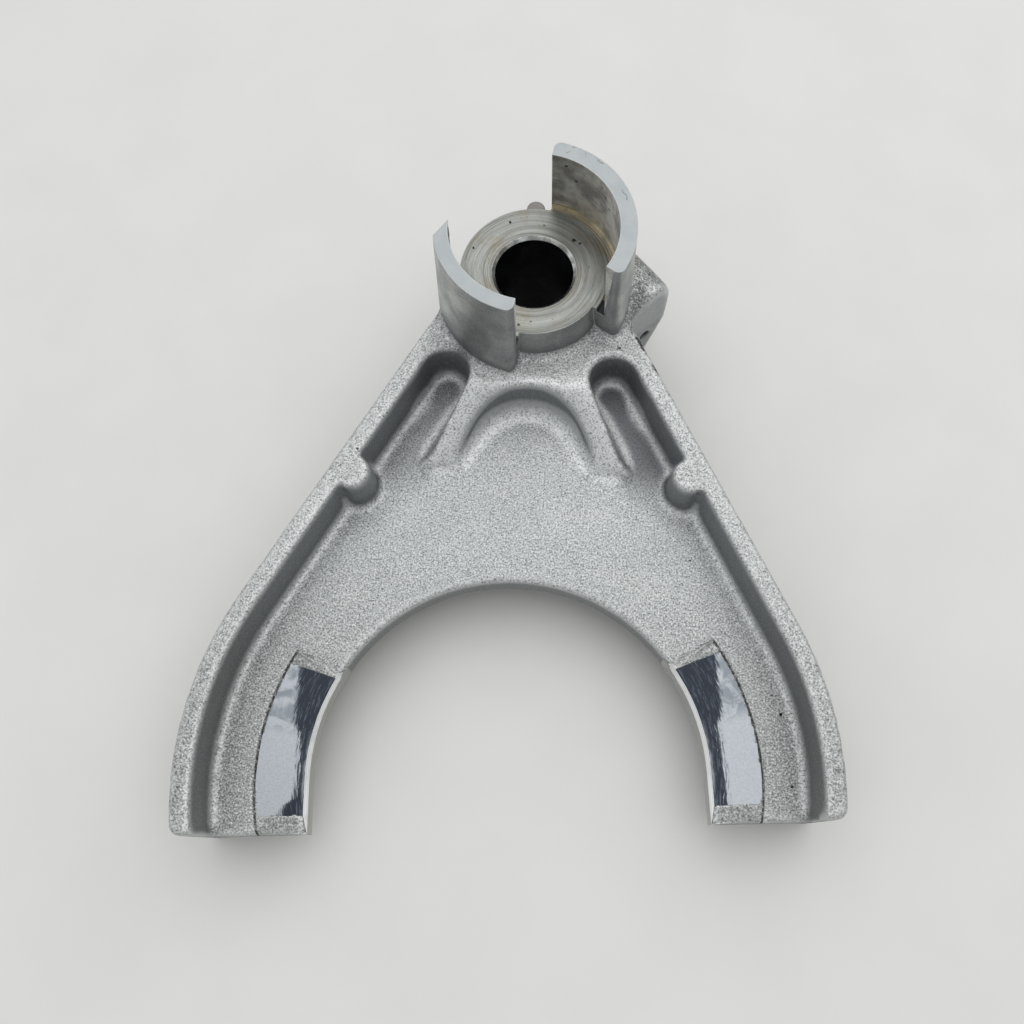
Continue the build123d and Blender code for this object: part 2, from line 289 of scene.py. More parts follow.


# Painted highlight on the ribs, painted shade in corners by what stands close round each place, painted
# highlights on convex edges (partly edge wear), and pale frosted feet
def layPaintedLightAndWear(add, colour, on):
    rib = add("Attribute", attribute_name="rib").outputs["Fac"]
    flat = add("Math", {0: on["upright"], 1: -0.6, 2: 0.6}, operation="MULTIPLY_ADD")
    openness = add("AmbientOcclusion", {"Distance": 14 * millimetre}, samples=6).outputs["AO"]
    convexity = add("Attribute", attribute_name="edge").outputs["Fac"]
    feet = add("Math", {
        0: add("MapRange", {0: convexity, 1: -0.05, 2: -0.3, 4: 0.7}, **smooth),
        1: add("MapRange", {0: on["height"], 1: 25.0, 2: 22.0}, **smooth),
    }, operation="MULTIPLY")
    return layTones(add, colour, [
        # Painted highlight on the slopes and tops of the ribs
        (castFinish["paleGrainAndHighlight"], rib, flat),
        # Painted shade in corners and hollows, by ambient occlusion
        (castFinish["paintedShade"], add("MapRange", {0: openness, 1: 0.85, 2: 0.2, 4: 0.75}, **smooth)),
        # Painted highlight on convex edges, partly edge wear
        (castFinish["paleGrainAndHighlight"], add("MapRange", {0: convexity, 1: 0.04, 2: 0.35, 4: 0.6}, **smooth)),
        (castFinish["paleGrainAndHighlight"], feet, add("MapRange", {0: on["coarse"], 1: 0.25, 2: 0.6, 3: 0.75}, **smooth)),
    ])


# Blasted grain: light tops and dark dents, and on the rim a few deeper pits
def layGrain(add, colour, on, slotShade):
    shown = add("Math", {0: on["upright"], 1: -0.75, 2: 1.0}, operation="MULTIPLY_ADD")
    outsideSlotShade = add("Math", {0: slotShade, 1: -1.1, 2: 0.75}, operation="MULTIPLY_ADD")
    mixed = add("Math", {
        0: on["fine"], 1: 0.85, 2: add("Math", {0: on["coarse"], 1: 0.15}, operation="MULTIPLY"),
    }, operation="MULTIPLY_ADD")
    deep = add("MapRange", {0: on["coarse"], 1: 0.38, 2: 0.3}, **smooth)
    return layTones(add, colour, [
        (castFinish["pit"], shown, add("MapRange", {0: mixed, 1: 0.52, 2: 0.36, 4: 0.75}, **smooth)),
        (castFinish["paleGrainAndHighlight"], shown, outsideSlotShade, add("MapRange", {0: mixed, 1: 0.49, 2: 0.63}, **smooth)),
        (castFinish["pit"], deep, on["rim"], shown, 0.25),
    ])


# Share of the step line round the pads, and of the pits and flaws of the casting
def castFlawShare(add, where, on):
    reach, _, y, _ = polar(add, where, (0, -castingSizes["throatDistance"], 0), castingSizes["throatTurn"])
    away = add("Math", {0: reach, 1: castingSizes["padOuterRadius"] + 0.1}, operation="SUBTRACT")
    away = add("Math", {0: away}, operation="ABSOLUTE")
    step = add("MapRange", {0: away, 1: 0.38, 2: 0.12}, **smooth)
    for share in (
        add("MapRange", {0: y, 1: 33 * millimetre, 2: 29 * millimetre}, **smooth),
        add("MapRange", {0: on["height"], 1: 15.0, 2: 17.0}, **smooth),
        add("MapRange", {0: on["height"], 1: 19.2, 2: 18.8}, **smooth),
        add("MapRange", {0: on["coarse"], 1: 0.3, 2: 0.6, 3: 0.35, 4: 0.9}, **smooth),
    ):
        step = add("Math", {0: step, 1: share}, operation="MULTIPLY")
    flaws = add("Math", {0: marks(add, where, castPits), 1: seams(add, where, castFlaws)}, operation="MAXIMUM")
    return add("Math", {0: flaws, 1: step}, operation="MAXIMUM")


def makeCastFinish(name):
    finish, add, shader, where = newFinish(name)
    on = castGuides(add, where)
    slotShade = slotFloorShade(add, on)
    colour = layPlaceTones(add, hexColour(castFinish["web"]), where, on)
    # Painted shade on the slot floors
    colour = layTones(add, colour, [(castFinish["paintedShade"], slotShade)])
    colour = layPaintedLightAndWear(add, colour, on)
    colour = layGrain(add, colour, on, slotShade)
    flaws = castFlawShare(add, where, on)
    colour = layTones(add, colour, [("#1E1C1A", flaws)])
    depth = add("Math", {
        0: on["fine"], 1: 0.6, 2: add("Math", {0: on["coarse"], 1: 0.5}, operation="MULTIPLY"),
    }, operation="MULTIPLY_ADD")
    depth = add("Math", {
        0: depth, 1: add("Math", {0: flaws, 1: 1.5}, operation="MULTIPLY"),
    }, operation="SUBTRACT")
    bump = add("Bump", {
        "Strength": 0.8, "Distance": castFinish["grainDepth"] * millimetre, "Height": depth,
    })
    rough = add("Math", {0: on["coarse"], 1: 0.25, 2: castFinish["roughness"] - 0.12}, operation="MULTIPLY_ADD")
    setInputs(shader, {"Base Color": colour, "Normal": bump, "Roughness": rough, "Metallic": 0.85})
    return finish


# Aluminium wall as cast in a smooth die: finer grain and a darker, slightly satin grey
wallFinish = {
    "base": "#B4B6B3",
    "light": "#DADCD9",
    "dark": "#999B9C",
    "foot": "#7F8284",
    "grain": 0.35,
    "grainDepth": 0.03,
    "edgeRadius": 0.6,
}


def makeWallFinish():
    finish, add, shader, where = newFinish("die cast aluminium wall")
    fine = add("TexNoise", {
        "Vector": where, "Scale": 1 / (wallFinish["grain"] * millimetre), "Roughness": 0.6,
    })
    cloud = add("TexNoise", {
        "Vector": where, "Scale": 1 / (6.0 * millimetre), "Detail": 4.0, "Roughness": 0.6,
    })
    colour = layTones(add, hexColour(wallFinish["base"]), [
        (wallFinish["dark"], add("MapRange", {0: cloud, 1: 0.35, 2: 0.7}, **smooth)),
        (wallFinish["light"], add("MapRange", {0: fine, 1: 0.55, 2: 0.75, 4: 0.5}, **smooth)),
        ("#45474A", add("MapRange", {0: fine, 1: 0.42, 2: 0.3, 4: 0.5}, **smooth)),
    ])
    # The foot of the hub and ears is duller, and the rib at the back of the hub is stained
    parts = add("SeparateXYZ", {0: where})
    height = add("Math", {0: parts.outputs[2], 1: 1 / millimetre}, operation="MULTIPLY")
    colour = layTones(add, colour, [
        (wallFinish["foot"], add("MapRange", {0: height, 1: 37.0, 2: 31.5, 4: 0.7}, **smooth)),
    ])
    aside = add("Math", {
        0: add("Math", {0: parts.outputs[0], 1: 1 / millimetre}, operation="MULTIPLY"),
    }, operation="ABSOLUTE")
    stain = add("Math", {
        0: add("MapRange", {0: aside, 1: 4.4, 2: 3.6}, **smooth),
        1: add("MapRange", {
            0: parts.outputs[1], 1: 19.0 * millimetre, 2: 19.6 * millimetre, 4: 0.8,
        }, **smooth),
    }, operation="MULTIPLY")
    stain = add("Math", {
        0: stain, 1: add("MapRange", {0: height, 1: 39.5, 2: 38.5}, **smooth),
    }, operation="MULTIPLY")
    colour = layTones(add, colour, [(castFinish["backStain"], stain)])
    soft, edge = roundedEdge(add, wallFinish["edgeRadius"])
    # Painted highlight on the rounded edges
    colour = layTones(add, colour, [("#D0D2D0", edge, 0.5)])
    bump = add("Bump", {
        "Strength": 0.7, "Distance": wallFinish["grainDepth"] * millimetre, "Height": fine, "Normal": soft,
    })
    setInputs(shader, {
        "Base Color": colour, "Normal": bump,
        "Roughness": add("MapRange", {0: cloud, 1: 0.3, 2: 0.7, 3: 0.38, 4: 0.5}, **smooth),
        "Metallic": 0.9,
    })
    return finish


# Aluminium faced on a lathe: concentric tool rings, dulled by handling, with oil stains in the ring marks
turnedFinish = {
    "base": "#8C8D88",
    "dull": "#686964",
    "stain": "#75684E",
    "ringStep": 0.42,       # mm between tool rings, drawn as coarse as shows in the render
    "ringDepth": 0.02,
}
facePits = [
    (-7.0, 14.6, 40.3, 0.45, 1.0), (-16.0, 6.5, 40.3, 0.4, 1.0), (9.8, 9.8, 40.3, 0.7, 0.9),
    (11.3, 8.9, 40.3, 0.5, 0.8), (2.0, 14.0, 40.3, 0.4, 0.7), (-3.0, -15.5, 40.3, 0.5, 0.8),
    (0.0, -14.5, 40.3, 0.35, 0.7), (-16.8, -3.0, 40.3, 0.3, 0.9), (14.0, 2.0, 40.3, 0.25, 0.7),
]


def makeTurnedFinish():
    finish, add, shader, where = newFinish("lathe faced aluminium")
    reach, _, _, _ = polar(add, where)
    line = add("CombineXYZ", {0: add("Math", {0: reach, 1: millimetre}, operation="MULTIPLY")})
    drift = add("VectorMath", {0: where, 1: (0.04, 0.04, 0.0)}, operation="MULTIPLY")
    rings = add("TexNoise", {
        "Vector": add("VectorMath", {0: line, 1: drift}, operation="ADD"),
        "Scale": 1 / (turnedFinish["ringStep"] * millimetre), "Detail": 3.0, "Roughness": 0.7,
    })
    bands = add("TexNoise", {"Vector": line, "Scale": 1 / (1.7 * millimetre), "Detail": 1.0})
    cloud = add("TexNoise", {
        "Vector": where, "Scale": 1 / (7.0 * millimetre), "Detail": 3.0, "Roughness": 0.6,
    })
    grit = add("TexNoise", {"Vector": where, "Scale": 1 / (0.5 * millimetre), "Roughness": 0.6})
    colour = layTones(add, hexColour(turnedFinish["dull"]), [
        (turnedFinish["base"], add("MapRange", {0: rings, 1: 0.35, 2: 0.65}, **smooth)),
        ("#A9AAA6", add("MapRange", {0: bands, 1: 0.35, 2: 0.7, 4: 0.4}, **smooth)),
    ])
    stain = add("Math", {
        0: add("MapRange", {0: cloud, 1: 0.48, 2: 0.66}, **smooth),
        1: add("MapRange", {0: rings, 1: 0.6, 2: 0.4, 3: 0.3}, **smooth),
    }, operation="MULTIPLY")
    colour = layTones(add, colour, [
        (turnedFinish["stain"], stain, 0.55),
        ("#55534E", add("MapRange", {0: grit, 1: 0.36, 2: 0.28, 4: 0.6}, **smooth)),
    ])
    pits = marks(add, where, facePits)
    colour = layTones(add, colour, [("#14120F", pits)])
    soft, edge = roundedEdge(add, 0.35)
    # Painted highlight on the rounded edges
    colour = layTones(add, colour, [("#E4E5E3", edge, 0.5)])
    bump = add("Bump", {
        "Strength": 0.6, "Distance": turnedFinish["ringDepth"] * millimetre,
        "Height": add("Math", {0: rings, 1: pits}, operation="SUBTRACT"), "Normal": soft,
    })
    tangent = add("Tangent", direction_type="RADIAL", axis="Z")
    setInputs(shader, {
        "Base Color": colour, "Normal": bump,
        "Roughness": add("MapRange", {0: rings, 1: 0.3, 2: 0.7, 3: 0.42, 4: 0.32}, **smooth),
        "Metallic": 0.92, "Anisotropic": 0.4, "Tangent": tangent,
    })
    return finish


# Bright turned chamfer at the mouth of the bore
def makeBrightEdgeFinish():
    finish, add, shader, where = newFinish("turned aluminium chamfer")
    speck = add("TexNoise", {
        "Vector": where, "Scale": 1 / (2.2 * millimetre), "Detail": 3.0, "Roughness": 0.6,
    })
    colour = layTones(add, hexColour("#A2A39F"), [
        ("#E4E5E3", add("MapRange", {0: speck, 1: 0.35, 2: 0.65}, **smooth)),
    ])
    soft, _ = roundedEdge(add, 0.2)
    setInputs(shader, {
        "Base Color": colour, "Normal": soft,
        "Roughness": add("MapRange", {0: speck, 1: 0.3, 2: 0.7, 3: 0.35, 4: 0.22}, **smooth),
        "Metallic": 1.0,
    })
    return finish


# Bored aluminium wet with old oil: nearly black inside, partly the oil and partly painted shade of the deep
# bore, with faint turning lines
def makeBoreFinish():
    finish, add, shader, where = newFinish("oily bored aluminium with painted shade")
    parts = add("SeparateXYZ", {0: where})
    line = add("CombineXYZ", {2: parts.outputs[2]})
    rings = add("TexNoise", {"Vector": line, "Scale": 1 / (0.5 * millimetre), "Roughness": 0.6})
    smear = add("TexNoise", {
        "Vector": where, "Scale": 1 / (5.0 * millimetre), "Detail": 3.0, "Roughness": 0.6,
    })
    # Near-black tone: painted shade of the deep bore, partly the oil film
    colour = layTones(add, hexColour("#1B1C20"), [
        ("#34353A", add("MapRange", {0: smear, 1: 0.4, 2: 0.7}, **smooth)),
    ])
    bump = add("Bump", {"Strength": 0.3, "Distance": 0.02 * millimetre, "Height": rings})
    setInputs(shader, {
        "Base Color": colour, "Normal": bump,
        "Roughness": add("MapRange", {0: smear, 1: 0.3, 2: 0.7, 3: 0.3, 4: 0.45}, **smooth),
        "Metallic": 0.7,
    })
    return finish


# Inside of the ears, turned with a coarse feed: satin grey with slanting wipe marks and black pits
earInsideFinish = {
    "base": "#D9D8D2",
    "dark": "#9C9995",
    "light": "#EEEEE8",
    "ringStep": 0.5,
}
earPits = [
    (7.0, 19.4, 57.0, 0.5, 0.9), (9.5, 18.4, 52.5, 0.45, 0.9), (11.5, 17.3, 56.2, 0.35, 0.9),
    (12.4, 16.6, 49.5, 0.4, 0.8), (16.0, 13.2, 57.5, 0.5, 1.0), (17.0, 12.0, 55.0, 0.55, 1.0),
    (18.0, 10.4, 52.5, 0.45, 1.0), (18.9, 8.6, 56.0, 0.5, 0.9), (5.6, 20.0, 47.0, 0.3, 0.8),
    (19.6, 6.6, 50.0, 0.4, 0.8),
]


def makeEarInsideFinish():
    finish, add, shader, where = newFinish("turned aluminium ear wall")
    parts = add("SeparateXYZ", {0: where})
    slant = add("Mapping", {
        "Vector": where, "Rotation": (radians(35), radians(20), 0), "Scale": (0.25, 0.25, 1.6),
    }, vector_type="POINT")
    wipe = add("TexNoise", {
        "Vector": slant, "Scale": 1 / (1.1 * millimetre), "Detail": 3.0, "Roughness": 0.65,
    })
    line = add("CombineXYZ", {2: parts.outputs[2]})
    rings = add("TexNoise", {
        "Vector": line, "Scale": 1 / (earInsideFinish["ringStep"] * millimetre), "Roughness": 0.6,
    })
    cloud = add("TexNoise", {
        "Vector": where, "Scale": 1 / (5.5 * millimetre), "Detail": 3.0, "Roughness": 0.6,
    })
    colour = layTones(add, hexColour(earInsideFinish["base"]), [
        (earInsideFinish["dark"], add("MapRange", {0: cloud, 1: 0.35, 2: 0.65}, **smooth)),
        (earInsideFinish["light"], add("MapRange", {0: wipe, 1: 0.5, 2: 0.75, 4: 0.5}, **smooth)),
        ("#3F3D3B", add("MapRange", {0: rings, 1: 0.55, 2: 0.8, 4: 0.25}, **smooth)),
    ])
    pits = marks(add, where, earPits)
    colour = layTones(add, colour, [("#0F0E0D", pits)])
    soft, edge = roundedEdge(add, 0.3)
    # Painted highlight on the rounded edges
    colour = layTones(add, colour, [("#E4E5E3", edge, 0.5)])
    bump = add("Bump", {
        "Strength": 0.4,
        "Distance": 0.03 * millimetre,
        "Height": add("Math", {
            0: add("Math", {0: rings, 1: wipe}, operation="ADD"), 1: pits,
        }, operation="SUBTRACT"),
        "Normal": soft,
    })
    lit = add("MapRange", {
        0: add("Math", {0: parts.outputs[1], 1: 1 / millimetre}, operation="MULTIPLY"), 1: 16.0,
        2: 7.0,
    }, **smooth)
    setInputs(shader, {
        "Base Color": colour, "Normal": bump,
        "Roughness": add("MapRange", {0: cloud, 1: 0.3, 2: 0.7, 3: 0.34, 4: 0.46}, **smooth),
        "Metallic": add("Math", {0: lit, 1: -0.65, 2: 0.8}, operation="MULTIPLY_ADD"),
    })
    return finish


# Undercut groove stained golden brown by varnished oil, with a bright line where it is rubbed
def makeGrooveFinish():
    finish, add, shader, where = newFinish("oil stained turned groove")
    reach, _, _, height = polar(add, where)
    line = add("CombineXYZ", {0: reach, 2: height})
    scaled = add("VectorMath", {0: line, "Scale": millimetre}, operation="SCALE")
    rings = add("TexNoise", {"Vector": scaled, "Scale": 1 / (0.35 * millimetre), "Roughness": 0.6})
    cloud = add("TexNoise", {"Vector": where, "Scale": 1 / (4.0 * millimetre)})
    colour = layTones(add, hexColour("#7A6F5A"), [
        ("#D6CFBA", add("MapRange", {0: rings, 1: 0.4, 2: 0.62}, **smooth)),
        ("#9A958A", add("MapRange", {0: cloud, 1: 0.45, 2: 0.7, 4: 0.6}, **smooth)),
    ])
    bump = add("Bump", {"Strength": 0.4, "Distance": 0.03 * millimetre, "Height": rings})
    setInputs(shader, {
        "Base Color": colour, "Normal": bump,
        "Roughness": add("MapRange", {0: rings, 1: 0.3, 2: 0.7, 3: 0.36, 4: 0.24}, **smooth),
        "Metallic": 0.9,
    })
    return finish


# Ear tops faced flat: pale, slightly blue satin metal with a few handling scratches
earScratches = [
    ((7.2, 20.8, 60.0), (8.1, 22.0, 60.0), 0.22, 0.6),
    ((8.1, 22.0, 60.0), (9.3, 22.6, 60.0), 0.22, 0.6),
    ((11.5, 21.5, 60.0), (11.6, 19.7, 60.0), 0.22, 0.6),
    ((14.5, 18.7, 60.0), (16.0, 17.9, 60.0), 0.22, 0.6),
    ((20.5, 10.5, 60.0), (21.7, 7.7, 60.0), 0.22, 0.6),
]


def makeEarTopFinish():
    finish, add, shader, where = newFinish("faced aluminium ear top")
    cloud = add("TexNoise", {"Vector": where, "Scale": 1 / (6.0 * millimetre), "Detail": 3.0})
    grit = add("TexNoise", {"Vector": where, "Scale": 1 / (0.5 * millimetre), "Roughness": 0.6})
    slant = add("Mapping", {
        "Vector": where, "Rotation": (0, 0, radians(40)), "Scale": (0.12, 2.0, 1.0),
    }, vector_type="POINT")
    scratch = add("TexNoise", {
        "Vector": slant, "Scale": 1 / (1.0 * millimetre), "Detail": 3.0, "Roughness": 0.7,
    })
    colour = layTones(add, hexColour("#969B9C"), [
        ("#A3A7A7", add("MapRange", {0: cloud, 1: 0.35, 2: 0.65}, **smooth)),
        ("#85888A", add("MapRange", {0: scratch, 1: 0.66, 2: 0.75, 4: 0.5}, **smooth)),
        ("#6B6D6F", add("MapRange", {0: grit, 1: 0.33, 2: 0.25, 4: 0.5}, **smooth)),
        ("#4C4F52", seams(add, where, earScratches)),
    ])
    soft, edge = roundedEdge(add, 0.6)
    # Painted highlight on the rounded edges, made less metallic there so that they render bright
    colour = layTones(add, colour, [("#F0F1F0", edge, 0.8)])
    bump = add("Bump", {"Strength": 0.3, "Distance": 0.02 * millimetre, "Height": scratch, "Normal": soft})
    setInputs(shader, {
        "Base Color": colour, "Normal": bump,
        "Roughness": add("MapRange", {0: cloud, 1: 0.3, 2: 0.7, 3: 0.4, 4: 0.5}, **smooth),
        "Metallic": add("Math", {0: edge, 1: -0.7, 2: 0.9}, operation="MULTIPLY_ADD"),
    })
    return finish


# Pads milled flat and then rubbed bright by the sleeve that they push: mirror-dark streaks, a painted
# reflection, follow the arc on the throat side, and the rest is a pale brushed haze. Each curve gives how far
# the dark streaks reach across the pad, from its upper end to its lower end.
padFinish = {
    "pale": "#A4A8AC",
    "haze": "#73797F",
    "dark": "#2C3037",
    "leftReach": (
        (0.0, 0.95), (0.1, 0.78), (0.2, 0.64), (0.38, 0.5),
        (0.5, 0.33), (0.85, 0.28), (0.93, 0.5), (1.0, 0.62),
    ),
    "rightReach": (
        (0.0, 1.0), (0.1, 0.88), (0.22, 0.7), (0.38, 0.56), (0.52, 0.38), (0.9, 0.38), (1.0, 0.42),
    ),
    "streakStep": 0.5,      # mm across a streak
}


def makePadFinish():
    finish, add, shader, where = newFinish("milled aluminium rubbed bright")
    reach, x, y, _ = polar(add, where, (0, -castingSizes["throatDistance"], 0), castingSizes["throatTurn"])
    width = castingSizes["padOuterRadius"] - castingSizes["throatRadius"]
    across = add("Math", {
        0: add("Math", {0: reach, 1: castingSizes["throatRadius"]}, operation="SUBTRACT"), 1: width,
    }, operation="DIVIDE")
    span = add("Math", {
        0: add("Math", {0: y, 1: add("Math", {0: x}, operation="ABSOLUTE")}, operation="ARCTAN2"),
        1: degrees(1),
    }, operation="MULTIPLY")
    along = add("MapRange", {0: span, 1: 30.5, 2: -8.8, 3: 0.0, 4: 1.0})
    right = add("Math", {0: x, 1: 0.0}, operation="GREATER_THAN")
    limits = []
    for key in ("leftReach", "rightReach"):
        curve = add("FloatCurve", {"Value": along})
        points = curve.mapping.curves[0].points
        points[0].location, points[1].location = padFinish[key][0], padFinish[key][-1]
        for place in padFinish[key][1:-1]:
            points.new(*place)
        curve.mapping.update()
        limits.append(curve.outputs[0])
    limit = add("Mix", {0: right, 2: limits[0], 3: limits[1]}, data_type="FLOAT")
    arc = add("CombineXYZ", {
        0: add("Math", {0: reach, 1: millimetre}, operation="MULTIPLY"),
        1: add("Math", {0: span, 1: 0.1 * millimetre}, operation="MULTIPLY"),
    })
    streaks = add("TexNoise", {
        "Vector": arc, "Scale": 1 / (padFinish["streakStep"] * millimetre), "Detail": 4.0, "Roughness": 0.75,
    })
    broad = add("TexNoise", {"Vector": arc, "Scale": 1 / (1.8 * millimetre), "Roughness": 0.6})
    cloud = add("TexNoise", {
        "Vector": where, "Scale": 1 / (3.5 * millimetre), "Detail": 4.0, "Roughness": 0.6, "Distortion": 0.6,
    })
    edge = add("Math", {
        0: limit,
        1: add("Math", {
            0: add("Math", {0: streaks, 1: 0.5}, operation="SUBTRACT"), 1: 0.55,
        }, operation="MULTIPLY"),
    }, operation="ADD")
    edge = add("Math", {
        0: edge,
        1: add("Math", {
            0: add("Math", {0: broad, 1: 0.5}, operation="SUBTRACT"), 1: 0.12,
        }, operation="MULTIPLY"),
    }, operation="ADD")
    dark = add("MapRange", {
        0: add("Math", {0: edge, 1: across}, operation="SUBTRACT"), 1: -0.02, 2: 0.07,
    }, **smooth)
    # The throat side of each streak zone is scuffed paler again
    scuff = add("Math", {
        0: add("MapRange", {0: across, 1: 0.16, 2: 0.04}, **smooth),
        1: add("MapRange", {0: along, 1: 0.35, 2: 0.7}, **smooth),
    }, operation="MULTIPLY")
    dark = add("Math", {
        0: dark,
        1: add("Math", {
            0: 1.0,
            1: add("Math", {
                0: scuff, 1: add("MapRange", {0: streaks, 1: 0.35, 2: 0.6}, **smooth),
            }, operation="MULTIPLY"),
        }, operation="SUBTRACT"),
    }, operation="MULTIPLY")
    hazy = add("Math", {
        0: add("MapRange", {0: along, 1: 0.5, 2: 0.38}, **smooth),
        1: add("Math", {0: right, 1: -1.0}, operation="MULTIPLY"),
    }, operation="MAXIMUM")
    hazy = add("Math", {
        0: hazy, 1: add("MapRange", {0: cloud, 1: 0.62, 2: 0.42}, **smooth),
    }, operation="MULTIPLY")
    colour = layTones(add, hexColour(padFinish["pale"]), [
        (padFinish["haze"], hazy, 0.85),
        ("#C6CACD", add("MapRange", {0: streaks, 1: 0.6, 2: 0.8, 4: 0.4}, **smooth)),
    ])
    grit = add("TexNoise", {
        "Vector": where, "Scale": 1 / (0.4 * millimetre), "Detail": 3.0, "Roughness": 0.7,
    })
    colour = layTones(add, colour, [
        ("#70767B", add("MapRange", {0: grit, 1: 0.35, 2: 0.65, 3: 0.25, 4: 0.0}, **smooth)),
    ])
    # Tone of the dark streaks: a painted reflection of the dark surroundings
    darkTone = layTones(add, hexColour(padFinish["dark"]), [
        ("#596069", add("MapRange", {0: streaks, 1: 0.5, 2: 0.72}, **smooth)),
    ])
    colour = add("Mix", {0: dark, 6: colour, 7: darkTone}, data_type="RGBA")
    soft, rimShare = roundedEdge(add, 0.25)
    # Painted highlight on the rounded edges
    colour = layTones(add, colour, [("#E8EAEC", rimShare, 0.6)])
    bump = add("Bump", {
        "Strength": 0.35, "Distance": 0.015 * millimetre, "Height": streaks, "Normal": soft,
    })
    setInputs(shader, {
        "Base Color": colour, "Normal": bump,
        "Roughness": add("Math", {0: dark, 1: -0.08, 2: 0.36}, operation="MULTIPLY_ADD"),
        "Metallic": 0.95,
    })
    return finish


# Milled chamfer beside the pads, and the milled throat wall under it: fine lines that follow the arc
def makeMilledFinish(name, light, dark, line, metal):
    finish, add, shader, where = newFinish(name)
    _, _, _, height = polar(add, where, (0, -castingSizes["throatDistance"], 0), castingSizes["throatTurn"])
    across = add("CombineXYZ", {2: add("Math", {0: height, 1: millimetre}, operation="MULTIPLY")})
    lines = add("TexNoise", {"Vector": across, "Scale": 1 / (line * millimetre), "Roughness": 0.6})
    cloud = add("TexNoise", {
        "Vector": where, "Scale": 1 / (4.0 * millimetre), "Detail": 3.0, "Roughness": 0.6,
    })
    colour = layTones(add, hexColour(dark), [
        (light, add("MapRange", {0: lines, 1: 0.38, 2: 0.56}, **smooth)),
        ("#8B8983", add("MapRange", {0: cloud, 1: 0.5, 2: 0.75, 4: 0.25}, **smooth)),
    ])
    soft, _ = roundedEdge(add, 0.2)
    bump = add("Bump", {"Strength": 0.5, "Distance": 0.03 * millimetre, "Height": lines, "Normal": soft})
    setInputs(shader, {"Base Color": colour, "Normal": bump, "Roughness": 0.34, "Metallic": metal})
    return finish


finishes = {
    "casting": makeCastFinish("shot blasted cast aluminium"),
    "wall": makeWallFinish(),
    "face": makeTurnedFinish(),
    "chamfer": makeBrightEdgeFinish(),
    "bore": makeBoreFinish(),
    "earInside": makeEarInsideFinish(),
    "groove": makeGrooveFinish(),
    "earTop": makeEarTopFinish(),
    "pad": makePadFinish(),
    # The pad chamfer's near-white, barely metallic tone is a painted highlight: the bright line the milled
    # chamfer shows
    "padEdge": makeMilledFinish("milled aluminium chamfer", "#F4F4F3", "#B4B5B4", 0.32, 0.3),
    "throat": makeMilledFinish("milled aluminium throat", "#B6B6B2", "#94948F", 0.6, 0.6),
}
print("finishes made")


# Place in the frame of the pads, round the throat's centre
def padPlace(x, y):
    turn, down = radians(castingSizes["throatTurn"]), y + castingSizes["throatDistance"]
    return cos(turn) * x + sin(turn) * down, cos(turn) * down - sin(turn) * x


# Which finish a face of the casting has, from its centre and normal
def finishOf(centre, normal):
    s = castingSizes
    x, y, z = centre
    reach = hypot(x, y)
    inward = (normal.x * x + normal.y * y) < 0
    upright = abs(normal.z) < 0.35
    padX, padY = padPlace(x, y)
    padReach = hypot(padX, padY)
    if reach < s["boreRadius"] + 0.2 and upright:
        return "bore"
    if reach < s["boreRadius"] + 1.0 and z > s["grooveFloor"] and 0.4 < normal.z < 0.9:
        return "chamfer"
    if normal.z > 0.99 and abs(z - s["faceHeight"]) < 0.2 and reach < s["grooveRadius"]:
        return "face"
    if reach < s["grooveRadius"] + 0.3 and s["grooveFloor"] - 0.2 < z < s["faceHeight"] + 0.05:
        if z > s["faceHeight"] - 0.05:
            return "wall"
        # Outside the ears the groove's floor takes the near-black bore finish as painted shade
        if not (-20 < degrees(atan2(y, x)) < 80):
            return "bore" if normal.z > 0.9 else "wall"
        if (normal.z > 0.9 and reach > s["boreRadius"] + 2) or (upright and inward):
            return "groove"
    if s["earInner"] - 0.4 < reach < s["grooveRadius"] + 0.2 and z > s["faceHeight"] and upright and inward:
        return "earInside"
    if z > s["earHeight"] - 0.2 and normal.z > 0.99:
        return "earTop"
    if z > s["railHeight"] + 0.3 and reach < s["earOuter"]:
        return "wall"
    if y < -60:
        flat = abs(normal.z) > 0.99 and s["throatRadius"] - 0.5 < padReach < s["padOuterRadius"] + 0.1
        if flat and -s["padLowerEnd"] - 0.1 < padY < s["padUpperEnd"] + 3:
            if abs(z - s["padTop"]) < 0.1 or abs(z - s["padUnderside"]) < 0.1:
                return "pad"
        if padReach < s["throatRadius"] + 1.4 and 0.5 < abs(normal.z) < 0.9 and padY < s["padUpperEnd"]:
            return "padEdge"
        if padReach < s["throatRadius"] + 0.3 and upright and padY < s["padUpperEnd"] + 1.0:
            return "throat"
        if padY < 0 and abs(abs(padX) - s["throatRadius"]) < 0.3 and upright:
            return "throat"
    return "casting"


# The cast skin is the model's surface rebuilt as an even net, relaxed so that its edges and feet are soft,
# and uneven as a casting is. The turned and milled faces stay as the model has them, on a body of their own
# whose cast faces are sunk below the skin.
skinSettings = {
    "netStep": 0.75,        # mm between the points of the net
    "relaxRounds": 4,       # more rounds give softer edges
    "footRounds": 10,       # at the foot of the hub and ears
    "ribRounds": 14,        # on the ribs and round the scallop
    "ribFootRounds": 45,    # at the feet of the ribs
    "underFaces": 0.3,      # mm that the skin stays below a machined face
    "underTopFaces": 1.0,   # mm, at the top of the hub and on the ears
    "coreSunk": 1.0,        # mm that the body's cast faces are sunk
    "padTurn": 2.2,         # degrees by which the pads' upper ends run on round the throat
    "unevenDepth": 0.16,    # mm between the skin's highest and lowest waves
    "unevenSize": 3.2,      # mm across a wave
    "seed": 7.0,
}
castNames = ("casting",)


def ease(value, low, high):
    share = np.clip((value - low) / (high - low), 0.0, 1.0)
    return share * share * (3 - 2 * share)


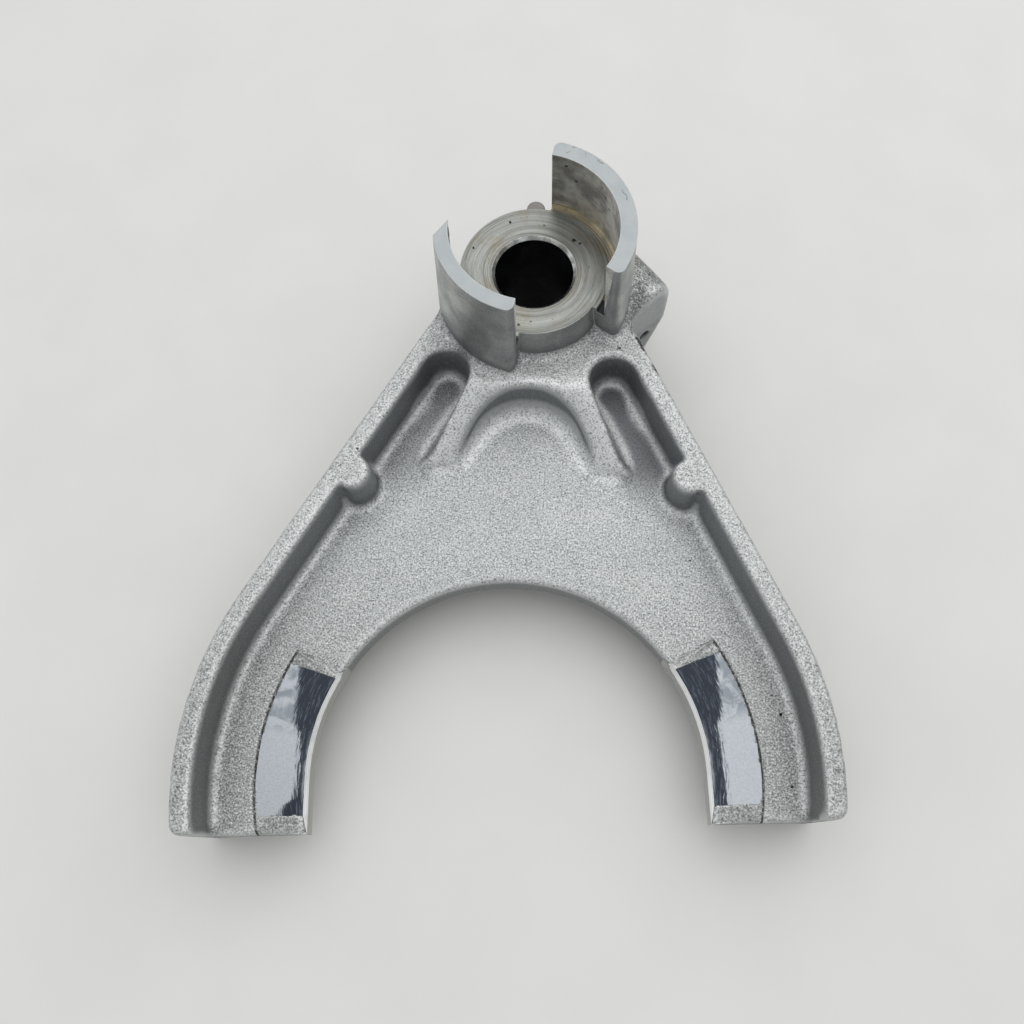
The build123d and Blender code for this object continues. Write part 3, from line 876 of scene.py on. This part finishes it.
def readPoints(mesh):
    points = np.empty(len(mesh.vertices) * 3, np.float64)
    mesh.vertices.foreach_get("co", points)
    return points.reshape(-1, 3)


def readNormals(mesh):
    normals = np.empty(len(mesh.vertices) * 3, np.float32)
    mesh.vertices.foreach_get("normal", normals)
    return normals.reshape(-1, 3).astype(np.float64)


def readEdges(mesh):
    edges = np.empty(len(mesh.edges) * 2, np.int64)
    mesh.edges.foreach_get("vertices", edges)
    return edges.reshape(-1, 2)


def writePoints(mesh, points):
    mesh.vertices.foreach_set("co", points.ravel())
    mesh.update()


def writeShare(mesh, name, values):
    mesh.attributes.new(name, "FLOAT", "POINT").data.foreach_set("value", values)


# The upper ends of the pads and of their chamfers are turned on round the throat
def stretchPads(build):
    s = castingSizes
    for point in build.verts:
        x, y, z = point.co / millimetre
        padX, padY = padPlace(x, y)
        span = degrees(atan2(padY, abs(padX)))
        if 24.5 < span < 29.5 and s["throatRadius"] - 0.5 < hypot(padX, padY) < s["padOuterRadius"] + 0.2:
            if s["padTop"] - 1.1 < z < s["padTop"] + 0.3:
                turn = radians(skinSettings["padTurn"]) * (1 if padX > 0 else -1)
                down = y + s["throatDistance"]
                point.co.x = (cos(turn) * x - sin(turn) * down) * millimetre
                point.co.y = (sin(turn) * x + cos(turn) * down - s["throatDistance"]) * millimetre


# The model's own surface, merged, smooth over its rounds and sharp at its edges
def makeCore():
    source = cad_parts["shift_fork"]
    mesh = source.data.copy()
    mesh.name = "machined_faces"
    mesh.materials.clear()
    for finish in finishes.values():
        mesh.materials.append(finish)
    order = {name: i for i, name in enumerate(finishes)}
    build = bmesh.new()
    build.from_mesh(mesh)
    bmesh.ops.remove_doubles(build, verts=build.verts, dist=0.001 * millimetre)
    bmesh.ops.dissolve_degenerate(build, edges=build.edges, dist=0.0005 * millimetre)
    bmesh.ops.triangulate(build, faces=[f for f in build.faces if len(f.verts) > 3])
    build.normal_update()
    count = {}
    for face in build.faces:
        name = finishOf(face.calc_center_median() / millimetre, face.normal)
        count[name] = count.get(name, 0) + 1
        face.material_index = order[name]
        face.smooth = True
    for edge in build.edges:
        two = len(edge.link_faces) == 2
        edge.smooth = two and edge.calc_face_angle(0.0) < radians(28)
        if two and edge.link_faces[0].material_index != edge.link_faces[1].material_index:
            edge.smooth = edge.calc_face_angle(0.0) < radians(12)
    stretchPads(build)
    build.to_mesh(mesh)
    build.free()
    core = bpy.data.objects.new("machined_faces", mesh)
    bpy.context.scene.collection.objects.link(core)
    print("faces by finish:", count)
    return core


# Share of each point's way to the middle of its neighbours, taken as many rounds as the point asks for
def relax(points, edges, rounds):
    degree = np.bincount(edges.ravel(), minlength=len(points)).astype(float)
    degree[degree == 0] = 1
    for step in range(int(rounds.max())):
        total = np.empty_like(points)
        for axis in range(3):
            total[:, axis] = np.bincount(edges[:, 0], points[edges[:, 1], axis], len(points))
            total[:, axis] += np.bincount(edges[:, 1], points[edges[:, 0], axis], len(points))
        share = np.clip(rounds - step, 0.0, 1.0)[:, None] * 0.5
        points = points + share * (total / degree[:, None] - points)
    return points


# Waves of the cast skin, as a node tree that moves each point along its normal
def makeUnevenTree():
    tree = bpy.data.node_groups.new("cast unevenness", "GeometryNodeTree")
    add = partial(addNode, tree)
    tree.interface.new_socket("Geometry", in_out="INPUT", socket_type="NodeSocketGeometry")
    for name in ("Depth", "Size", "Seed"):
        tree.interface.new_socket(name, in_out="INPUT", socket_type="NodeSocketFloat")
    tree.interface.new_socket("Finish", in_out="INPUT", socket_type="NodeSocketMaterial")
    tree.interface.new_socket("Geometry", in_out="OUTPUT", socket_type="NodeSocketGeometry")
    given = add("NodeGroupInput").outputs
    place = add("GeometryNodeInputPosition")
    scaled = add("VectorMath", {
        0: place, "Scale": add("Math", {0: 1.0, 1: given["Size"]}, operation="DIVIDE"),
    }, operation="SCALE")
    wave = add("TexNoise", {
        "Vector": scaled, "W": given["Seed"], "Scale": 1.0, "Detail": 3.0, "Roughness": 0.55,
    }, noise_dimensions="4D")
    loose = add("GeometryNodeInputNamedAttribute", {"Name": "loose"}, data_type="FLOAT")
    lift = add("Math", {
        0: add("Math", {0: wave, 1: 0.55}, operation="SUBTRACT"),
        1: add("Math", {0: given["Depth"], 1: loose}, operation="MULTIPLY"),
    }, operation="MULTIPLY")
    along = add("VectorMath", {0: add("GeometryNodeInputNormal"), "Scale": lift}, operation="SCALE")
    moved = add("GeometryNodeSetPosition", {"Geometry": given["Geometry"], "Offset": along})
    real = add("GeometryNodeRealizeInstances", {0: moved})
    painted = add("GeometryNodeSetMaterial", {"Geometry": real, "Material": given["Finish"]})
    add("NodeGroupOutput", {0: painted})
    return tree


# A modifier's result as a plain mesh on the same object
def bakeModifiers(piece, name):
    bpy.context.view_layer.update()
    made = bpy.data.meshes.new_from_object(piece.evaluated_get(bpy.context.evaluated_depsgraph_get()))
    made.name = name
    piece.modifiers.clear()
    piece.data = made
    return piece


# The model's surface rebuilt as an even net
def makeNet(core):
    skin = bpy.data.objects.new("fork_skin", core.data.copy())
    bpy.context.scene.collection.objects.link(skin)
    net = skin.modifiers.new("net", "REMESH")
    net.mode = "VOXEL"
    net.voxel_size = skinSettings["netStep"] * millimetre
    net.use_smooth_shade = True
    bakeModifiers(skin, "fork_skin")
    skin.data.materials.clear()
    skin.data.materials.append(finishes["casting"])
    return skin


# For each point of the net: the nearest place on the model, its normal, and whether it is machined
def nearestFaces(points, mesh):
    tree = BVHTree.FromPolygons([v.co for v in mesh.vertices], [tuple(f.vertices) for f in mesh.polygons])
    found = [tree.find_nearest(Vector(p) * millimetre) for p in points]
    names = list(finishes)
    isCast = np.array([names[f.material_index] in castNames for f in mesh.polygons])
    spots = np.array([f[0] for f in found]) / millimetre
    return spots, np.array([f[1] for f in found]), ~isCast[np.array([f[2] for f in found])]


# Points of the net on the pads, as far as their upper ends now reach
def onPads(points):
    s = castingSizes
    padX, padY = padPlace(points[:, 0], points[:, 1])
    span = np.degrees(np.arctan2(padY, np.abs(padX)))
    reach = np.hypot(padX, padY)
    along = (padY > s["padLowerEnd"] * -0.5) & (span < 30.3 - (reach - s["throatRadius"]) * 0.184)
    return along & (reach < s["padOuterRadius"] - 0.1) & (np.abs(points[:, 2] - s["padTop"]) < 1)


# Zones of the casting, from places in millimetres: the foot of the hub and ears, the ribs with the scallop,
# and the feet of the ribs
def hubFoot(x, y, z):
    reach = np.hypot(x, y)
    return (reach > 17) & (reach < 30) & (z > 28.5) & (z < 35)


def ribZone(x, y, z):
    return ease(-y, 22.0, 30.0) * ease(-y, 60.0, 54.0) * ease(np.abs(x), 32.0, 27.0) * ease(z, 17.0, 19.5)


def ribFootZone(x, y, z):
    flat = ease(-y, 44.0, 50.0) * ease(-y, 64.0, 57.0) * ease(np.abs(x), 34.0, 29.0)
    return flat * ease(z, 17.0, 18.2) * ease(z, 25.0, 22.0)


# The skin's waves, then back inside the model's box
def waveSkin(skin):
    waves = skin.modifiers.new("waves", "NODES")
    waves.node_group = makeUnevenTree()
    sizes = {
        "Depth": skinSettings["unevenDepth"] * millimetre, "Size": skinSettings["unevenSize"] * millimetre,
        "Seed": skinSettings["seed"], "Finish": finishes["casting"],
    }
    for item in waves.node_group.interface.items_tree:
        if item.name in sizes:
            waves[item.identifier] = sizes[item.name]
    bakeModifiers(skin, "fork_skin")
    low, high = (np.array(c) for c in cadBox)
    writePoints(skin.data, np.clip(readPoints(skin.data), low, high))


def makeSkin(core):
    skin = makeNet(core)
    mesh = skin.data
    points = readPoints(mesh) / millimetre
    edges = readEdges(mesh)
    spots, outwards, machined = nearestFaces(points, core.data)
    pads = onPads(points)
    machined |= pads
    x, y, z = points.T
    foot = hubFoot(x, y, z)
    ribs = ribZone(x, y, z)
    rounds = np.where(foot, float(skinSettings["footRounds"]), float(skinSettings["relaxRounds"]))
    rounds = np.maximum(rounds, skinSettings["ribRounds"] * ribs)
    rounds = np.maximum(rounds, skinSettings["ribFootRounds"] * ribFootZone(x, y, z))
    moved = relax(points, edges, rounds)
    broad = relax(moved, edges, 12.0 + 36.0 * ribs)
    writePoints(mesh, moved * millimetre)
    # Convexity of each point: convex places get a painted highlight, partly edge wear, and hollow ones at the
    # feet a pale frosted line
    writeShare(mesh, "edge", ((moved - broad) * readNormals(mesh)).sum(1))
    writeShare(mesh, "rib", ribs * ease(z, 18.5, 19.5))
    writeShare(mesh, "loose", np.where(machined, 0.0, 1.0))
    # Points by a machined face go under it, but for the soft foot of the hub and ears
    deep = np.where(z > 34, skinSettings["underTopFaces"], skinSettings["underFaces"])[:, None]
    share = machined * np.where(foot, ease(z, 31.3, 33.5), 1.0)
    moved = moved + share[:, None] * (spots - outwards * deep - moved)
    moved[pads, 2] = np.minimum(moved[pads, 2], castingSizes["padTop"] - skinSettings["underFaces"])
    writePoints(mesh, moved * millimetre)
    waveSkin(skin)
    print("skin points:", len(skin.data.vertices), "faces:", len(skin.data.polygons))
    return skin


# Cast faces of the body go below the skin, and its machined faces stay
def sinkCore(core):
    build = bmesh.new()
    build.from_mesh(core.data)
    castIndex = [i for i, name in enumerate(finishes) if name in castNames]
    for point in build.verts:
        if all(f.material_index in castIndex for f in point.link_faces):
            x, y, z = point.co / millimetre
            ribs = -60 < y < -20 and abs(x) < 32 and z > 19
            point.co -= point.normal * skinSettings["coreSunk"] * (1.8 if ribs else 1.0) * millimetre
    build.to_mesh(core.data)
    build.free()


core = makeCore()
skin = makeSkin(core)
sinkCore(core)
for piece in (core, skin):
    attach(piece, "root")
    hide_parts("shift_fork")
print("skin made")

# Floor, lights and camera
stageSettings = {
    "floorColour": "#DAD9D6",
    "floorSize": 6.0,
    "skyTop": 0.9,
    "skyEdge": 0.5,
    "lampPower": 9.0,
    "lampSize": 1.8,
    "lampPlace": (0.25, 0.45, 1.1),
    "cameraPlace": (0.00786, -0.13949, 0.25307),
    "cameraTurn": (19.3919, 1.3964, 3.4052),
    "lens": 34.13,
}


def makeFloor():
    mesh = bpy.data.meshes.new("floor")
    half = stageSettings["floorSize"] / 2
    mesh.from_pydata(
        [(-half, -half, 0), (half, -half, 0), (half, half, 0), (-half, half, 0)], [], [(0, 1, 2, 3)],
    )
    floor = bpy.data.objects.new("floor", mesh)
    bpy.context.scene.collection.objects.link(floor)
    finish, add, shader, where = newFinish("plain pale floor")
    cloud = add("TexNoise", {"Vector": where, "Scale": 1 / (30.0 * millimetre), "Detail": 3.0})
    tone = layTones(add, hexColour(stageSettings["floorColour"]), [
        ("#CFCECA", add("MapRange", {0: cloud, 1: 0.3, 2: 0.7, 4: 0.25}, **smooth)),
    ])
    mesh.materials.append(finish)
    setInputs(shader, {"Base Color": tone, "Roughness": 0.75})
    return floor


def makeLight():
    world = bpy.data.worlds.new("soft sky")
    bpy.context.scene.world = world
    world.use_nodes = True
    world.node_tree.nodes.clear()
    add = partial(addNode, world.node_tree)
    direction = add("TexCoord").outputs["Generated"]
    parts = add("SeparateXYZ", {0: direction})
    strength = add("MapRange", {
        0: parts.outputs[2], 1: 0.0, 2: 0.85, 3: stageSettings["skyEdge"], 4: stageSettings["skyTop"],
    }, **smooth)
    back = add("MapRange", {0: parts.outputs[1], 1: -0.7, 2: 0.5, 3: 0.78}, **smooth)
    side = add("MapRange", {0: parts.outputs[0], 1: -0.8, 2: 0.8, 3: 1.2, 4: 0.88}, **smooth)
    strength = add("Math", {
        0: strength, 1: add("Math", {0: back, 1: side}, operation="MULTIPLY"),
    }, operation="MULTIPLY")
    sky = add("Background", {"Color": hexColour("#F6F8FA"), "Strength": strength})
    add("OutputWorld", {"Surface": sky})
    lamp = bpy.data.lights.new("softbox", "AREA")
    lamp.shape = "SQUARE"
    lamp.size = stageSettings["lampSize"]
    lamp.energy = stageSettings["lampPower"]
    holder = bpy.data.objects.new("softbox", lamp)
    holder.location = stageSettings["lampPlace"]
    aim = Vector((0, -0.06, 0.02)) - holder.location
    holder.rotation_euler = aim.to_track_quat("-Z", "Y").to_euler()
    bpy.context.scene.collection.objects.link(holder)


def makeCamera():
    data = bpy.data.cameras.new("camera")
    data.lens = stageSettings["lens"]
    data.clip_start = 0.01
    camera = bpy.data.objects.new("camera", data)
    camera.location = stageSettings["cameraPlace"]
    camera.rotation_euler = [radians(a) for a in stageSettings["cameraTurn"]]
    bpy.context.scene.collection.objects.link(camera)
    bpy.context.scene.camera = camera


makeFloor()
makeLight()
makeCamera()
bpy.context.scene.view_settings.view_transform = "Standard"
print("stage made")
